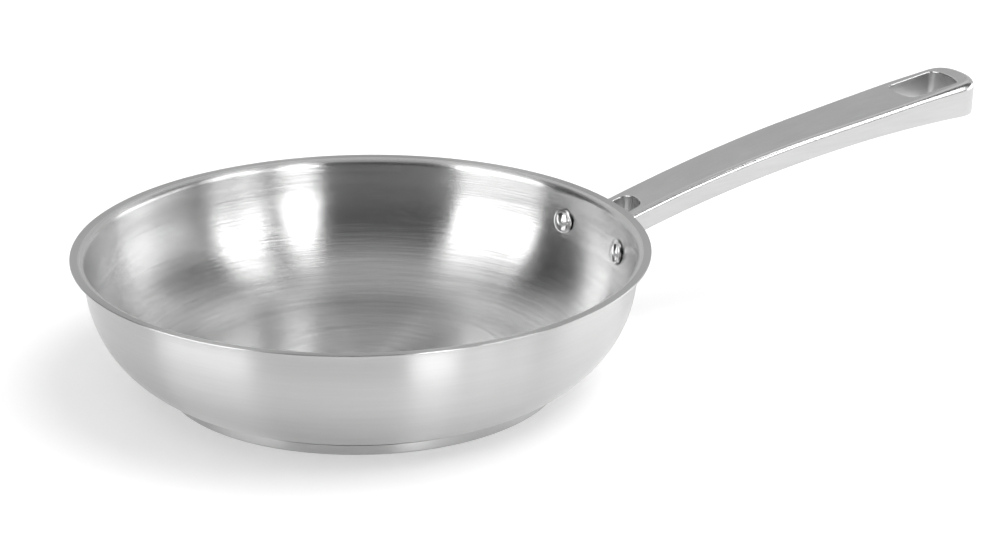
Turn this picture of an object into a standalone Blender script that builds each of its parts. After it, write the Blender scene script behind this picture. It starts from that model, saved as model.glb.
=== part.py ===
"""Stainless steel frying pan, 24 cm across the rim.

A pressed shell stands on an aluminium core in a magnetic base cup, and a cast handle is held to the wall
by two rivets. Metres, +Z up. The origin is the centre of the base's underside, and the handle runs along +X.
"""

import math

import bmesh
import bpy
from mathutils import Matrix, Vector

# Pan body
RIM_RADIUS = 0.120
PAN_HEIGHT = 0.0575
SHEET = 0.0008

# The wall's outer face: the foot's arc, the wall's arc and a short straight run, then the lip's bend and
# flat. Each slope is measured from level, where its arc ends. The wall's radius follows from the height
# that the others leave.
FOOT_RADIUS = 0.0340
FOOT_SLOPE = math.radians(30.0)
WALL_SLOPE = math.radians(88.0)
WALL_STRAIGHT = 0.0065
LIP_BEND_RADIUS = 0.0024
LIP_SLOPE = math.radians(5.0)
LIP_WIDTH = 0.0033

# Encapsulated base
CAP_SHEET = 0.0006
CAP_OVERHANG = 0.0101
CAP_CORNER_RADIUS = 0.0010
CORE_THICKNESS = 0.0020

# Handle: lengths are measured outwards from the rim
HANDLE_LENGTH = 0.1890
HANDLE_DROP = 0.0056
GRIP_SLOPE = math.radians(8.5)
NECK_CURVE_RADIUS = 0.670
NECK_CURVE_END = 0.1027
NECK_WIDTH = 0.0245
GRIP_WIDTH = 0.0307
WIDENING_START = 0.0139
WIDENING_END = 0.1661
HANDLE_DEPTH = 0.0104
BELLY_START = 0.105
BELLY_CURVE_RADIUS = 0.530
TOP_EDGE_RADIUS = 0.0024
TIP_EDGE_RADIUS = 0.0040
BOTTOM_EDGE_RADIUS = 0.0010
SIDE_DRAFT = 0.0004
TIP_ROUNDING = 0.012
TIP_EDGE_BLEND = 0.036
END_FULLNESS = 2.5
EDGE_BREAK = 0.0005

# Openings in the handle
VENT_END = 0.0134
VENT_WIDTH = 0.0146
VENT_ROUNDING = 0.0055
HOLE_END_WALL = 0.0092
HOLE_LENGTH = 0.0278
HOLE_WIDTH = 0.0200
HOLE_ROUNDING = 0.0040
CHANNEL_START = 0.022
CHANNEL_END_WALL = 0.0085
CHANNEL_ROUNDING = 0.010
CHANNEL_SIDE_WALL = 0.0028
CHANNEL_TOP_WALL = 0.0032
CHANNEL_FILLET = 0.0020

# Riveted flange
FLANGE_THICKNESS = 0.0032
FLANGE_EDGE_RADIUS = 0.0010
FLANGE_SWELL = 0.0024
SWELL_REACH = 0.0035
EAR_RADIUS = 0.0090
RIVET_SPACING = 0.0448
RIVET_DROP = 0.0154
SHANK_RADIUS = 0.0025
HEAD_RADIUS = 0.0054
HEAD_RIM_HEIGHT = 0.0010
HEAD_STEP = 0.0010
HEAD_CHAMFER = 0.0003
HEAD_DOME_HEIGHT = 0.0025
TAIL_RADIUS = 0.0046
TAIL_RIM_HEIGHT = 0.0006
TAIL_DOME_HEIGHT = 0.0018

# Fits and facets
GAP = 0.0003
OVERSHOOT = 0.004
SEGMENTS = 80
RIVET_SEGMENTS = 32
FOOT_STEPS = 6
WALL_STEPS = 8
LIP_STEPS = 5
SWELL_STEPS = 6
GRIP_STEPS = 20
MERGE = 0.00001

BASE_HEIGHT = CAP_SHEET + GAP + CORE_THICKNESS + GAP
RIVET_HEIGHT = PAN_HEIGHT - RIVET_DROP
HANDLE_TIP = RIM_RADIUS + HANDLE_LENGTH
HOLE_START = HANDLE_TIP - HOLE_END_WALL - HOLE_LENGTH


def clear_scene():
    for item in list(bpy.data.objects):
        bpy.data.objects.remove(item, do_unlink=True)


def metal(name, colour, roughness):
    material = bpy.data.materials.new(name)
    material.use_nodes = True
    shader = material.node_tree.nodes["Principled BSDF"]
    shader.inputs["Base Color"].default_value = (*colour, 1.0)
    shader.inputs["Metallic"].default_value = 1.0
    shader.inputs["Roughness"].default_value = roughness
    return material


def add_object(name, mesh, material=None):
    item = bpy.data.objects.new(name, mesh)
    bpy.context.scene.collection.objects.link(item)
    if material:
        mesh.materials.append(material)
    return item


def make_cutter(item):
    item.hide_render = True
    item.display_type = "WIRE"
    return item


def add_boolean(item, operand, operation):
    modifier = item.modifiers.new(operand.name, "BOOLEAN")
    modifier.operation = operation
    modifier.solver = "EXACT"
    modifier.object = operand


def shade_smooth(item):
    item.data.shade_smooth()
    item.data.set_sharp_from_angle(angle=math.radians(30))


# Wall profile

def arc_steps(start, end, steps):
    return [start + (end - start) * i / steps for i in range(1, steps + 1)]


def add_arc(path, radius, end, steps):
    """Run a path of (radius, height, slope) points on to the slope end.

    The arc bends upwards, or back outwards where its radius is below zero.
    """
    r, z, start = path[-1]
    for slope in arc_steps(start, end, steps):
        path.append((
            r + radius * (math.sin(slope) - math.sin(start)),
            z + radius * (math.cos(start) - math.cos(slope)),
            slope,
        ))


def add_straight(path, length):
    r, z, slope = path[-1]
    path.append((r + length * math.cos(slope), z + length * math.sin(slope), slope))


def wall_arc_radius():
    """The radius that lets the wall's arc fill the height between the foot and the straight run."""
    foot_rise = FOOT_RADIUS * (1.0 - math.cos(FOOT_SLOPE))
    bend_rise = LIP_BEND_RADIUS * (math.cos(LIP_SLOPE) - math.cos(WALL_SLOPE))
    lip_rise = bend_rise + LIP_WIDTH * math.sin(LIP_SLOPE) + SHEET * math.cos(LIP_SLOPE)
    straight_rise = WALL_STRAIGHT * math.sin(WALL_SLOPE)
    arc_rise = PAN_HEIGHT - BASE_HEIGHT - foot_rise - straight_rise - lip_rise
    return arc_rise / (math.cos(FOOT_SLOPE) - math.cos(WALL_SLOPE))


def outer_path():
    """The shell's outer face as (radius, height, slope) points, from the end of the flat floor to the rim."""
    path = [(0.0, BASE_HEIGHT, 0.0)]
    add_arc(path, FOOT_RADIUS, FOOT_SLOPE, FOOT_STEPS)
    add_arc(path, WALL_RADIUS, WALL_SLOPE, WALL_STEPS)
    add_straight(path, WALL_STRAIGHT)
    add_arc(path, -LIP_BEND_RADIUS, LIP_SLOPE, LIP_STEPS)
    add_straight(path, LIP_WIDTH)
    floor_radius = RIM_RADIUS - path[-1][0]
    return [(floor_radius + r, z, slope) for r, z, slope in path]


def offset_path(path, distance):
    """The path moved square to itself: inwards and up where distance is above zero."""
    return [(r - distance * math.sin(slope), z + distance * math.cos(slope)) for r, z, slope in path]


def wall_at_height(height, depth):
    """Radius and slope where a face that lies a depth inside the wall's outer face crosses a height."""
    points = offset_path(PATH, depth)
    for i in range(WALL_TOP):
        (r0, z0), (r1, z1) = points[i:i + 2]
        if z0 <= height <= z1:
            share = (height - z0) / (z1 - z0)
            slope = PATH[i][2] + share * (PATH[i + 1][2] - PATH[i][2])
            return r0 + share * (r1 - r0), slope
    raise ValueError("the wall does not reach this height")


def height_at_radius(points, radius):
    for (r0, z0), (r1, z1) in zip(points, points[1:]):
        if r0 <= radius <= r1:
            return z0 + (radius - r0) / (r1 - r0) * (z1 - z0)
    return points[0][1]


WALL_RADIUS = wall_arc_radius()
PATH = outer_path()
WALL_TOP = FOOT_STEPS + WALL_STEPS + 1
FLOOR_RADIUS = PATH[0][0]
CAP_RADIUS = FLOOR_RADIUS + CAP_OVERHANG
FLANGE_FACE = PATH[WALL_TOP][0] + GAP + FLANGE_THICKNESS
HANDLE_START = FLANGE_FACE - FLANGE_THICKNESS - 3.0 * OVERSHOOT


# Body builders

def revolve(name, profile, material=None, segments=SEGMENTS):
    """Turn an (r, z) profile about Z. The profile runs down its outer side, top to bottom."""
    mesh = bpy.data.meshes.new(name)
    edges = [(i, i + 1) for i in range(len(profile) - 1)]
    mesh.from_pydata([(r, 0.0, z) for r, z in profile], edges, [])
    item = add_object(name, mesh, material)
    screw = item.modifiers.new("turn", "SCREW")
    screw.axis = "Z"
    screw.angle = math.tau
    screw.steps = segments
    screw.render_steps = segments
    screw.use_merge_vertices = True
    screw.merge_threshold = MERGE
    screw.use_smooth_shade = True
    return item


def rounded_end(start, length, half_width, steps):
    """Points of a full, rounded end as (x, y), from the straight side to the middle of the end."""
    points = []
    for i in range(1, steps + 1):
        turn = 0.5 * math.pi * i / steps
        y = half_width * math.cos(turn) ** (2.0 / END_FULLNESS) if i < steps else 0.0
        points.append((start + length * math.sin(turn) ** (2.0 / END_FULLNESS), y))
    return points


def upright(x, y, height):
    return (x, y, height)


def symmetric_body(name, half_outline, levels, material=None, place=upright):
    """A closed body, symmetric about y = 0, stacked from copies of one outline.

    half_outline holds (x, y) points on the +y side, from the pan's end to the far end. levels holds an
    inset and a height for each copy, both functions of x, from the lowest copy to the highest. place
    turns x, y and height into a point in space.
    """
    normals = []
    for i in range(len(half_outline)):
        x0, y0 = half_outline[max(i - 1, 0)]
        x1, y1 = half_outline[min(i + 1, len(half_outline) - 1)]
        run = math.hypot(x1 - x0, y1 - y0)
        normals.append(((y0 - y1) / run, (x1 - x0) / run))
    if half_outline[0][1] == 0.0:
        normals[0] = (-1.0, 0.0)
    if half_outline[-1][1] == 0.0:
        normals[-1] = (1.0, 0.0)

    bm = bmesh.new()
    rings = []
    for inset, height in levels:
        plus = []
        minus = []
        for (x, y), (nx, ny) in zip(half_outline, normals):
            px = x - inset(x) * nx
            py = y - inset(x) * ny if y else 0.0
            plus.append(bm.verts.new(place(px, py, height(px))))
            minus.append(bm.verts.new(place(px, -py, height(px))) if y else plus[-1])
        rings.append((plus, minus))
    for plus, minus in (rings[0], rings[-1]):
        for i in range(len(plus) - 1):
            corners = dict.fromkeys((plus[i], plus[i + 1], minus[i + 1], minus[i]))
            bm.faces.new(corners)
    for low, high in zip(rings, rings[1:]):
        low_loop = list(dict.fromkeys(low[0] + low[1][::-1]))
        high_loop = list(dict.fromkeys(high[0] + high[1][::-1]))
        for i in range(len(low_loop)):
            j = (i + 1) % len(low_loop)
            bm.faces.new((low_loop[i], low_loop[j], high_loop[j], high_loop[i]))
    bmesh.ops.recalc_face_normals(bm, faces=bm.faces)
    mesh = bpy.data.meshes.new(name)
    bm.to_mesh(mesh)
    bm.free()
    return add_object(name, mesh, material)


def constant(value):
    return lambda x: value


# Handle curves, as functions of x

def smooth_step(value, start, end):
    share = min(max((value - start) / (end - start), 0.0), 1.0)
    return share * share * (3.0 - 2.0 * share)


def handle_top(x):
    """A straight, rising grip that curves down gently into the neck."""
    along = x - RIM_RADIUS
    bend_rise = NECK_CURVE_END ** 2 / (2.0 * NECK_CURVE_RADIUS)
    line = PAN_HEIGHT - HANDLE_DROP + bend_rise + math.tan(GRIP_SLOPE) * along
    return line - max(NECK_CURVE_END - along, 0.0) ** 2 / (2.0 * NECK_CURVE_RADIUS)


def flange_swell(x):
    """How far the neck swells to the sides and down where it runs into the flange."""
    return FLANGE_SWELL * (1.0 - smooth_step(x, FLANGE_FACE - SWELL_REACH, FLANGE_FACE + SWELL_REACH))


def handle_bottom(x):
    """Parallel to the top in the neck, with a belly that deepens towards the tip."""
    belly = max(x - RIM_RADIUS - BELLY_START, 0.0) ** 2 / (2.0 * BELLY_CURVE_RADIUS)
    return handle_top(x) - HANDLE_DEPTH - belly - flange_swell(x)


def handle_half_width(x):
    widening = smooth_step(x - RIM_RADIUS, WIDENING_START, WIDENING_END)
    return 0.5 * (NECK_WIDTH + (GRIP_WIDTH - NECK_WIDTH) * widening) + flange_swell(x)


def top_edge_radius(x):
    blend = smooth_step(x, HANDLE_TIP - TIP_EDGE_BLEND, HANDLE_TIP)
    return TOP_EDGE_RADIUS + (TIP_EDGE_RADIUS - TOP_EDGE_RADIUS) * blend


def edge_levels(radius, height, steps, upper):
    """Levels that round an edge: from the side to the face above, or from the face below to the side."""
    sign = 1.0 if upper else -1.0
    turns = [0.5 * math.pi * i / steps for i in range(steps + 1)]
    if not upper:
        turns.reverse()
    levels = []
    for turn in turns:
        inset = lambda x, turn=turn: radius(x) * (1.0 - math.cos(turn)) + (0.0 if upper else SIDE_DRAFT)
        level = lambda x, turn=turn: height(x) - sign * radius(x) * (1.0 - math.sin(turn))
        levels.append((inset, level))
    return levels


def handle_blank(name, material):
    side_end = HANDLE_TIP - TIP_ROUNDING
    swell_start = FLANGE_FACE - SWELL_REACH
    swell_end = FLANGE_FACE + SWELL_REACH
    stations = [HANDLE_START, swell_start]
    stations += arc_steps(swell_start, swell_end, SWELL_STEPS)
    stations += arc_steps(swell_end, side_end, GRIP_STEPS)
    outline = [(x, handle_half_width(x)) for x in stations]
    outline += rounded_end(side_end, TIP_ROUNDING, handle_half_width(side_end), 9)
    levels = edge_levels(constant(BOTTOM_EDGE_RADIUS), handle_bottom, 2, upper=False)
    levels += edge_levels(top_edge_radius, handle_top, 5, upper=True)
    return symmetric_body(name, outline, levels, material)


def through_cutter(name, outline):
    """Cuts down through the handle, with a small chamfer where it meets the top face."""
    low = min(handle_bottom(x) for x, _ in outline) - OVERSHOOT
    high = max(handle_top(x) for x, _ in outline) + OVERSHOOT
    levels = [
        (constant(0.0), constant(low)),
        (constant(0.0), lambda x: handle_top(x) - EDGE_BREAK),
        (constant(-EDGE_BREAK), handle_top),
        (constant(-EDGE_BREAK), constant(high)),
    ]
    return make_cutter(symmetric_body(name, outline, levels))


def vent_cutter():
    """The slot between the handle's two legs, open towards the pan."""
    end = RIM_RADIUS + VENT_END
    outline = [(HANDLE_START - OVERSHOOT, 0.5 * VENT_WIDTH), (end - VENT_ROUNDING, 0.5 * VENT_WIDTH)]
    outline += rounded_end(end - VENT_ROUNDING, VENT_ROUNDING, 0.5 * VENT_WIDTH, 7)
    return through_cutter("vent_cutter", outline)


def hole_cutter():
    """The hanging hole near the tip, with rounded corners."""
    end = HOLE_START + HOLE_LENGTH
    half_width = 0.5 * HOLE_WIDTH
    far_end = rounded_end(end - HOLE_ROUNDING, HOLE_ROUNDING, half_width, 6)
    outline = [(HOLE_START + end - x, y) for x, y in reversed(far_end)]
    outline += [(HOLE_START + HOLE_ROUNDING, half_width), (end - HOLE_ROUNDING, half_width)]
    outline += far_end
    return through_cutter("hole_cutter", outline)


def channel_cutter():
    """The long hollow in the grip's underside."""
    start = RIM_RADIUS + CHANNEL_START
    end = HOLE_START - CHANNEL_END_WALL
    steps = 6

    def half_width(x):
        return handle_half_width(x) - CHANNEL_SIDE_WALL

    near_end = rounded_end(0.0, CHANNEL_ROUNDING, half_width(start + CHANNEL_ROUNDING), steps)
    outline = [(start + CHANNEL_ROUNDING - x, y) for x, y in reversed(near_end)]
    straight = 8
    for i in range(straight + 1):
        x = start + CHANNEL_ROUNDING + (end - start - 2.0 * CHANNEL_ROUNDING) * i / straight
        outline.append((x, half_width(x)))
    outline += rounded_end(end - CHANNEL_ROUNDING, CHANNEL_ROUNDING, half_width(end - CHANNEL_ROUNDING), steps)
    levels = [(constant(0.0), lambda x: handle_bottom(x) - OVERSHOOT)]
    levels += edge_levels(constant(CHANNEL_FILLET), lambda x: handle_top(x) - CHANNEL_TOP_WALL, 2, upper=True)
    return make_cutter(symmetric_body("channel_cutter", outline, levels))


# Rivet places

def rivet_frame(side):
    """Where a rivet's axis meets the wall's inner face, as a matrix with +Z along the axis, outwards."""
    radius, slope = wall_at_height(RIVET_HEIGHT, SHEET)
    turn = side * math.asin(0.5 * RIVET_SPACING / radius)
    outwards = Vector((math.sin(slope) * math.cos(turn), math.sin(slope) * math.sin(turn), -math.cos(slope)))
    place = Vector((radius * math.cos(turn), radius * math.sin(turn), RIVET_HEIGHT))
    return Matrix.Translation(place) @ outwards.to_track_quat("Z", "Y").to_matrix().to_4x4()


def rivet_hole_cutter(name, side):
    radius = SHANK_RADIUS + GAP
    reach = SHEET + FLANGE_THICKNESS + OVERSHOOT
    profile = [(0.0, reach), (radius, reach), (radius, -OVERSHOOT), (0.0, -OVERSHOOT)]
    cutter = revolve(name, profile, segments=RIVET_SEGMENTS)
    cutter.matrix_world = rivet_frame(side)
    return make_cutter(cutter)


# Pieces

def make_pan_shell(material, rivet_cutters):
    inner = offset_path(PATH, SHEET)
    outer = offset_path(PATH, 0.0)
    profile = [(0.0, BASE_HEIGHT + SHEET)] + inner + outer[::-1] + [(0.0, BASE_HEIGHT)]
    shell = revolve("pan_shell", profile, material)
    for cutter in rivet_cutters:
        add_boolean(shell, cutter, "DIFFERENCE")
    return shell


def make_heat_spreader(material):
    """The aluminium core fills the base cup up to the shell's curved underside."""
    radius = CAP_RADIUS - CAP_SHEET - GAP
    under_shell = offset_path(PATH, -GAP)
    top = [point for point in under_shell if point[0] < radius]
    top.append((radius, height_at_radius(under_shell, radius)))
    bottom = CAP_SHEET + GAP
    profile = [(0.0, top[0][1])] + top + [(radius, bottom), (0.0, bottom)]
    return revolve("heat_spreader", profile, material)


def make_base_cap(material):
    """A shallow magnetic cup, turned up at the edge as far as the shell."""
    under_shell = offset_path(PATH, -GAP)
    inner_radius = CAP_RADIUS - CAP_SHEET
    rim_height = height_at_radius(under_shell, inner_radius)
    inner_corner = CAP_CORNER_RADIUS - CAP_SHEET
    profile = [(0.0, CAP_SHEET)]
    for turn in [0.0] + arc_steps(0.0, 0.5 * math.pi, 2):
        profile.append((
            inner_radius - inner_corner * (1.0 - math.sin(turn)),
            CAP_SHEET + inner_corner * (1.0 - math.cos(turn)),
        ))
    profile.append((inner_radius, rim_height))
    profile.append((CAP_RADIUS, rim_height))
    for turn in [0.0] + arc_steps(0.0, 0.5 * math.pi, 3):
        profile.append((
            CAP_RADIUS - CAP_CORNER_RADIUS * (1.0 - math.cos(turn)),
            CAP_CORNER_RADIUS * (1.0 - math.sin(turn)),
        ))
    profile.append((0.0, 0.0))
    return revolve("base_cap", profile, material)


def wall_plug(name, clearance):
    """Everything inside the wall's outer face, moved out by a clearance."""
    face = offset_path(PATH, -clearance)[:WALL_TOP + 1]
    profile = [(0.0, face[-1][1])] + face[::-1] + [(0.0, face[0][1])]
    return make_cutter(revolve(name, profile))


def flange_pad():
    """A long pad bent to the wall, with a round end about each rivet and a rounded outer edge."""
    radius, slope = wall_at_height(RIVET_HEIGHT, SHEET)
    reach = radius * math.asin(0.5 * RIVET_SPACING / radius)
    end_steps = 7
    straight_steps = 6
    far_end = []
    for turn in arc_steps(0.5 * math.pi, 0.0, end_steps):
        height = EAR_RADIUS * math.sin(turn) if turn else 0.0
        far_end.append((reach + EAR_RADIUS * math.cos(turn), height))
    outline = [(-along, height) for along, height in reversed(far_end)]
    outline += [(along, EAR_RADIUS) for along in [-reach] + arc_steps(-reach, reach, straight_steps)]
    outline += far_end

    def bent(along, up, out):
        height = RIVET_HEIGHT + up * math.sin(slope)
        wall, tilt = wall_at_height(height, 0.0)
        wall += out * math.sin(tilt)
        turn = along / radius
        return (wall * math.cos(turn), wall * math.sin(turn), height - out * math.cos(tilt))

    face = constant(GAP + FLANGE_THICKNESS)
    levels = [(constant(0.0), constant(-SHEET))]
    levels += edge_levels(constant(FLANGE_EDGE_RADIUS), face, 3, upper=True)
    for inset in arc_steps(FLANGE_EDGE_RADIUS, EAR_RADIUS - FLANGE_EDGE_RADIUS, 3):
        levels.append((constant(inset), face))
    return make_cutter(symmetric_body("flange_pad", outline, levels, place=bent))


def make_handle(material, rivet_cutters):
    """The cast handle: two legs run from a flange on the wall into one grip."""
    handle = handle_blank("handle", material)
    add_boolean(handle, vent_cutter(), "DIFFERENCE")
    add_boolean(handle, flange_pad(), "UNION")
    add_boolean(handle, wall_plug("wall_clearance", GAP), "DIFFERENCE")
    add_boolean(handle, hole_cutter(), "DIFFERENCE")
    add_boolean(handle, channel_cutter(), "DIFFERENCE")
    for cutter in rivet_cutters:
        add_boolean(handle, cutter, "DIFFERENCE")
    return handle


def dome(radius, low, high, steps):
    """A shallow dome as (r, z) points from its rim to its crown."""
    return [
        (radius * math.cos(turn), low + (high - low) * math.sin(turn))
        for turn in [0.0] + arc_steps(0.0, 0.5 * math.pi, steps)
    ]


def make_rivet(name, side, material):
    """A stepped, domed head inside the pan, a shank through wall and flange, and a formed tail outside."""
    seat = -GAP - HEAD_RADIUS ** 2 / (2.0 * min(WALL_RADIUS, RIM_RADIUS))
    tail_seat = SHEET + GAP + FLANGE_THICKNESS + GAP
    rim_top = seat - HEAD_RIM_HEIGHT
    dome_radius = HEAD_RADIUS - HEAD_STEP
    crown = dome(dome_radius, rim_top, seat - HEAD_DOME_HEIGHT, 5)
    tail = dome(TAIL_RADIUS, tail_seat + TAIL_RIM_HEIGHT, tail_seat + TAIL_DOME_HEIGHT, 4)
    profile = [(0.0, tail[-1][1])] + tail[-2::-1]
    profile += [(TAIL_RADIUS, tail_seat), (SHANK_RADIUS, tail_seat), (SHANK_RADIUS, seat), (HEAD_RADIUS, seat)]
    profile += [(HEAD_RADIUS, rim_top + HEAD_CHAMFER), (HEAD_RADIUS - HEAD_CHAMFER, rim_top)]
    profile += crown[:-1] + [(0.0, crown[-1][1])]
    rivet = revolve(name, profile, material, segments=RIVET_SEGMENTS)
    rivet.matrix_world = rivet_frame(side)
    return rivet


def main():
    clear_scene()
    brushed = metal("brushed_stainless", (0.60, 0.60, 0.59), 0.32)
    satin = metal("satin_stainless", (0.62, 0.62, 0.61), 0.28)
    polished = metal("polished_stainless", (0.70, 0.70, 0.70), 0.08)
    aluminium = metal("aluminium", (0.66, 0.66, 0.67), 0.45)
    rivet_cutters = [rivet_hole_cutter("rivet_hole_left", 1), rivet_hole_cutter("rivet_hole_right", -1)]
    shell = make_pan_shell(brushed, rivet_cutters)
    spreader = make_heat_spreader(aluminium)
    cap = make_base_cap(satin)
    handle = make_handle(satin, rivet_cutters)
    rivets = [make_rivet("rivet_left", 1, polished), make_rivet("rivet_right", -1, polished)]
    for item in (shell, spreader, cap, handle, *rivets):
        shade_smooth(item)


if __name__ == "__main__":
    main()
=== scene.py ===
"""Fine meshes, brushed finishes and a plain studio for a stainless steel frying pan.

The file is laid out as an add-on: the sizes and finishes are properties, each piece has an operator, and a
sidebar panel lists them. Run as a script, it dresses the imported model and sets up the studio.
"""

import math

import bmesh
import bpy
from bpy.props import FloatProperty, FloatVectorProperty, IntProperty, PointerProperty
from mathutils import Matrix, Vector


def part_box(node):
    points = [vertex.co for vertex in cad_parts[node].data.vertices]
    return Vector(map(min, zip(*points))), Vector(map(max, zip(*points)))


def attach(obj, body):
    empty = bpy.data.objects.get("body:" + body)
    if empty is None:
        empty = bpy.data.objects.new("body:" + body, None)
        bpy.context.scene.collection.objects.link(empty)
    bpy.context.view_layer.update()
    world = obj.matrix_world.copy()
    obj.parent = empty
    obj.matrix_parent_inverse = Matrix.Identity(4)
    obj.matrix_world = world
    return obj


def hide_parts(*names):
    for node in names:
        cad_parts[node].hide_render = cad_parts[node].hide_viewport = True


bl_info = {
    "name": "Frying pan",
    "version": (1, 0, 0),
    "blender": (4, 5, 0),
    "location": "3D View > Sidebar > Frying Pan",
    "description": "Makes a stainless steel frying pan with a riveted handle, and a studio around it",
    "category": "Add Mesh",
}

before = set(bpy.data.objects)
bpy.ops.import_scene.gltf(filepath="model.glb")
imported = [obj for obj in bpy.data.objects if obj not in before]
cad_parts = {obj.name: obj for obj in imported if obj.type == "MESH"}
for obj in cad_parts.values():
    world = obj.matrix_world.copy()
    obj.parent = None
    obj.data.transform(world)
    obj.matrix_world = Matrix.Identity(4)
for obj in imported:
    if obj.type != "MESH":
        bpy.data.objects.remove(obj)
SHELL_LOW, SHELL_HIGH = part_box("pan_shell")
HANDLE_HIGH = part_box("handle")[1]
CAP_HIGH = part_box("base_cap")[1]

# Clearance left between neighbouring pieces, and how far a cutter runs past what it cuts
GAP = 0.0003
OVERSHOOT = 0.004

# Faces that meet at a larger angle than this, in degrees, keep a crisp edge between them
CRISP_ANGLE = 40.0


# Settings


def metres(name, description, default):
    return FloatProperty(name=name, description=description, default=default, precision=6, unit="LENGTH")


def degrees(name, description, default):
    return FloatProperty(name=name, description=description, default=math.radians(default), subtype="ANGLE")


def factor(name, description, default):
    return FloatProperty(
        name=name, description=description, default=default, min=0.0, max=1.0, subtype="FACTOR")


def rgb(name, description, default):
    return FloatVectorProperty(
        name=name, description=description, default=default, size=3, min=0.0, max=1.0, subtype="COLOR")


class BowlSettings(bpy.types.PropertyGroup):
    """Sizes of the pressed bowl and its base."""

    rim_radius: metres("Rim Radius", "From the axis to the edge of the pouring lip", SHELL_HIGH.x)
    height: metres("Height", "From the table to the top of the lip", SHELL_HIGH.z)
    underside: metres("Underside", "Height of the pressed sheet's underside above the table", SHELL_LOW.z)
    sheet: metres("Sheet", "Thickness of the pressed sheet", 0.0008)
    foot_radius: metres("Foot Radius", "Bend where the floor turns up", 0.0340)
    foot_slope: degrees("Foot Slope", "Slope where the foot's bend ends", 30.0)
    wall_slope: degrees("Wall Slope", "Slope of the straight wall under the lip", 88.0)
    wall_straight: metres("Straight Wall", "Length of the straight wall under the lip", 0.0065)
    lip_bend: metres("Lip Bend", "Bend radius under the lip", 0.0024)
    lip_slope: degrees("Lip Slope", "Slope of the lip's flat", 5.0)
    lip_width: metres("Lip Width", "Width of the lip's flat", 0.0033)
    lip_edge: metres("Lip Edge", "Rounding of the trimmed edge", 0.0003)
    cap_radius: metres("Base Radius", "Outer radius of the base cup", CAP_HIGH.x)
    cap_sheet: metres("Base Sheet", "Thickness of the base cup's steel", 0.0006)
    cap_corner: metres("Base Corner", "Rounding at the edge of the underside", 0.0010)
    segments: IntProperty(
        name="Segments", description="Facets in one turn of the bowl", default=288, min=24, max=720)


class HandleSettings(bpy.types.PropertyGroup):
    """Sizes of the cast handle. Lengths run outwards from the rim."""

    length: metres("Length", "From the rim to the tip", HANDLE_HIGH.x - SHELL_HIGH.x)
    drop: metres("Drop", "From the top of the lip down to the handle at the rim", 0.0056)
    slope: degrees("Slope", "Rise of the straight grip", 8.5)
    neck_curve: metres("Neck Curve", "Radius of the bend in the neck", 0.670)
    neck_curve_end: metres("Neck Curve End", "Where the bend runs out into the straight grip", 0.1027)
    neck_width: metres("Neck Width", "Width at the pan", 0.0245)
    grip_width: metres("Grip Width", "Width at the tip", 0.0307)
    widening_start: metres("Widening Start", "Where the handle starts to widen", 0.0139)
    widening_end: metres("Widening End", "Where the full width is reached", 0.1661)
    depth: metres("Depth", "From top to bottom in the neck", 0.0104)
    belly_start: metres("Belly Start", "Where the handle starts to deepen", 0.105)
    belly_curve: metres("Belly Curve", "Radius of the underside's curve", 0.530)
    top_edge: metres("Top Edge", "Rounding of the top edge along the grip", 0.0024)
    tip_edge: metres("Tip Edge", "Rounding of the top edge at the tip", 0.0040)
    bottom_edge: metres("Bottom Edge", "Rounding of the lower edge", 0.0010)
    hole_length: metres("Hole Length", "Length of the hanging hole", 0.0278)
    hole_width: metres("Hole Width", "Width of the hanging hole", 0.0200)
    vent_end: metres("Vent End", "How far the slot between the legs runs out", 0.0134)
    vent_width: metres("Vent Width", "Width of the slot between the legs", 0.0146)
    edge_break: metres("Edge Break", "Rounding where an opening meets the top", 0.0005)
    flange: metres("Flange", "Thickness of the riveted flange", 0.0032)
    flange_edge: metres("Flange Edge", "Rounding of the flange's outer edge", 0.0010)
    swell: metres("Swell", "How far the neck swells where it meets the flange", 0.0024)
    swell_reach: metres("Swell Reach", "Length of the swell on each side of the flange's face", 0.0035)
    ear_radius: metres("Ear Radius", "Radius of the flange around a rivet", 0.0090)


class RivetSettings(bpy.types.PropertyGroup):
    """Sizes and places of the two rivets."""

    spacing: metres("Spacing", "Between the two rivets", 0.0448)
    drop: metres("Drop", "From the top of the lip down to the rivets", 0.0154)
    head_radius: metres("Head Radius", "Radius of the head inside the pan", 0.0054)
    head_height: metres("Head Height", "Height of the head's dome", 0.0025)
    shank_radius: metres("Shank Radius", "Radius of the shank", 0.0025)
    tail_radius: metres("Tail Radius", "Radius of the end formed outside the flange", 0.0046)
    tail_height: metres("Tail Height", "Height of the end's dome", 0.0018)
    segments: IntProperty(
        name="Segments", description="Facets in one turn of a rivet", default=64, min=12, max=256)


class FinishSettings(bpy.types.PropertyGroup):
    """Colours and finishes of the metals."""

    steel: rgb("Steel", "Colour of the stainless steel", (0.66, 0.66, 0.66))
    # The satin colour is darker than the steel's as painted shade: it stands in for the dimmer surroundings
    # that the outside, the base and the handle reflect.
    satin: rgb("Satin Steel With Painted Shade", "Colour of the satin outside and base", (0.54, 0.54, 0.54))
    polished: rgb("Polished Steel", "Colour of the mirror-polished rivets", (0.80, 0.80, 0.80))
    aluminium: rgb("Aluminium", "Colour of the core", (0.68, 0.68, 0.69))
    inside_roughness: factor("Inside Roughness", "Roughness of the brushed inside", 0.26)
    outside_roughness: factor("Outside Roughness", "Roughness of the satin outside", 0.30)
    handle_roughness: factor("Handle Roughness", "Roughness of the satin handle", 0.30)
    edge_roughness: factor("Edge Roughness", "Roughness of the handle's polished edge", 0.20)
    aluminium_roughness: factor("Aluminium Roughness", "Roughness of the core", 0.45)
    polished_roughness: factor("Polished Roughness", "Roughness of the polished rivets", 0.07)
    grain_depth: metres("Grain Depth", "Depth of the brush marks", 0.00016)


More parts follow.
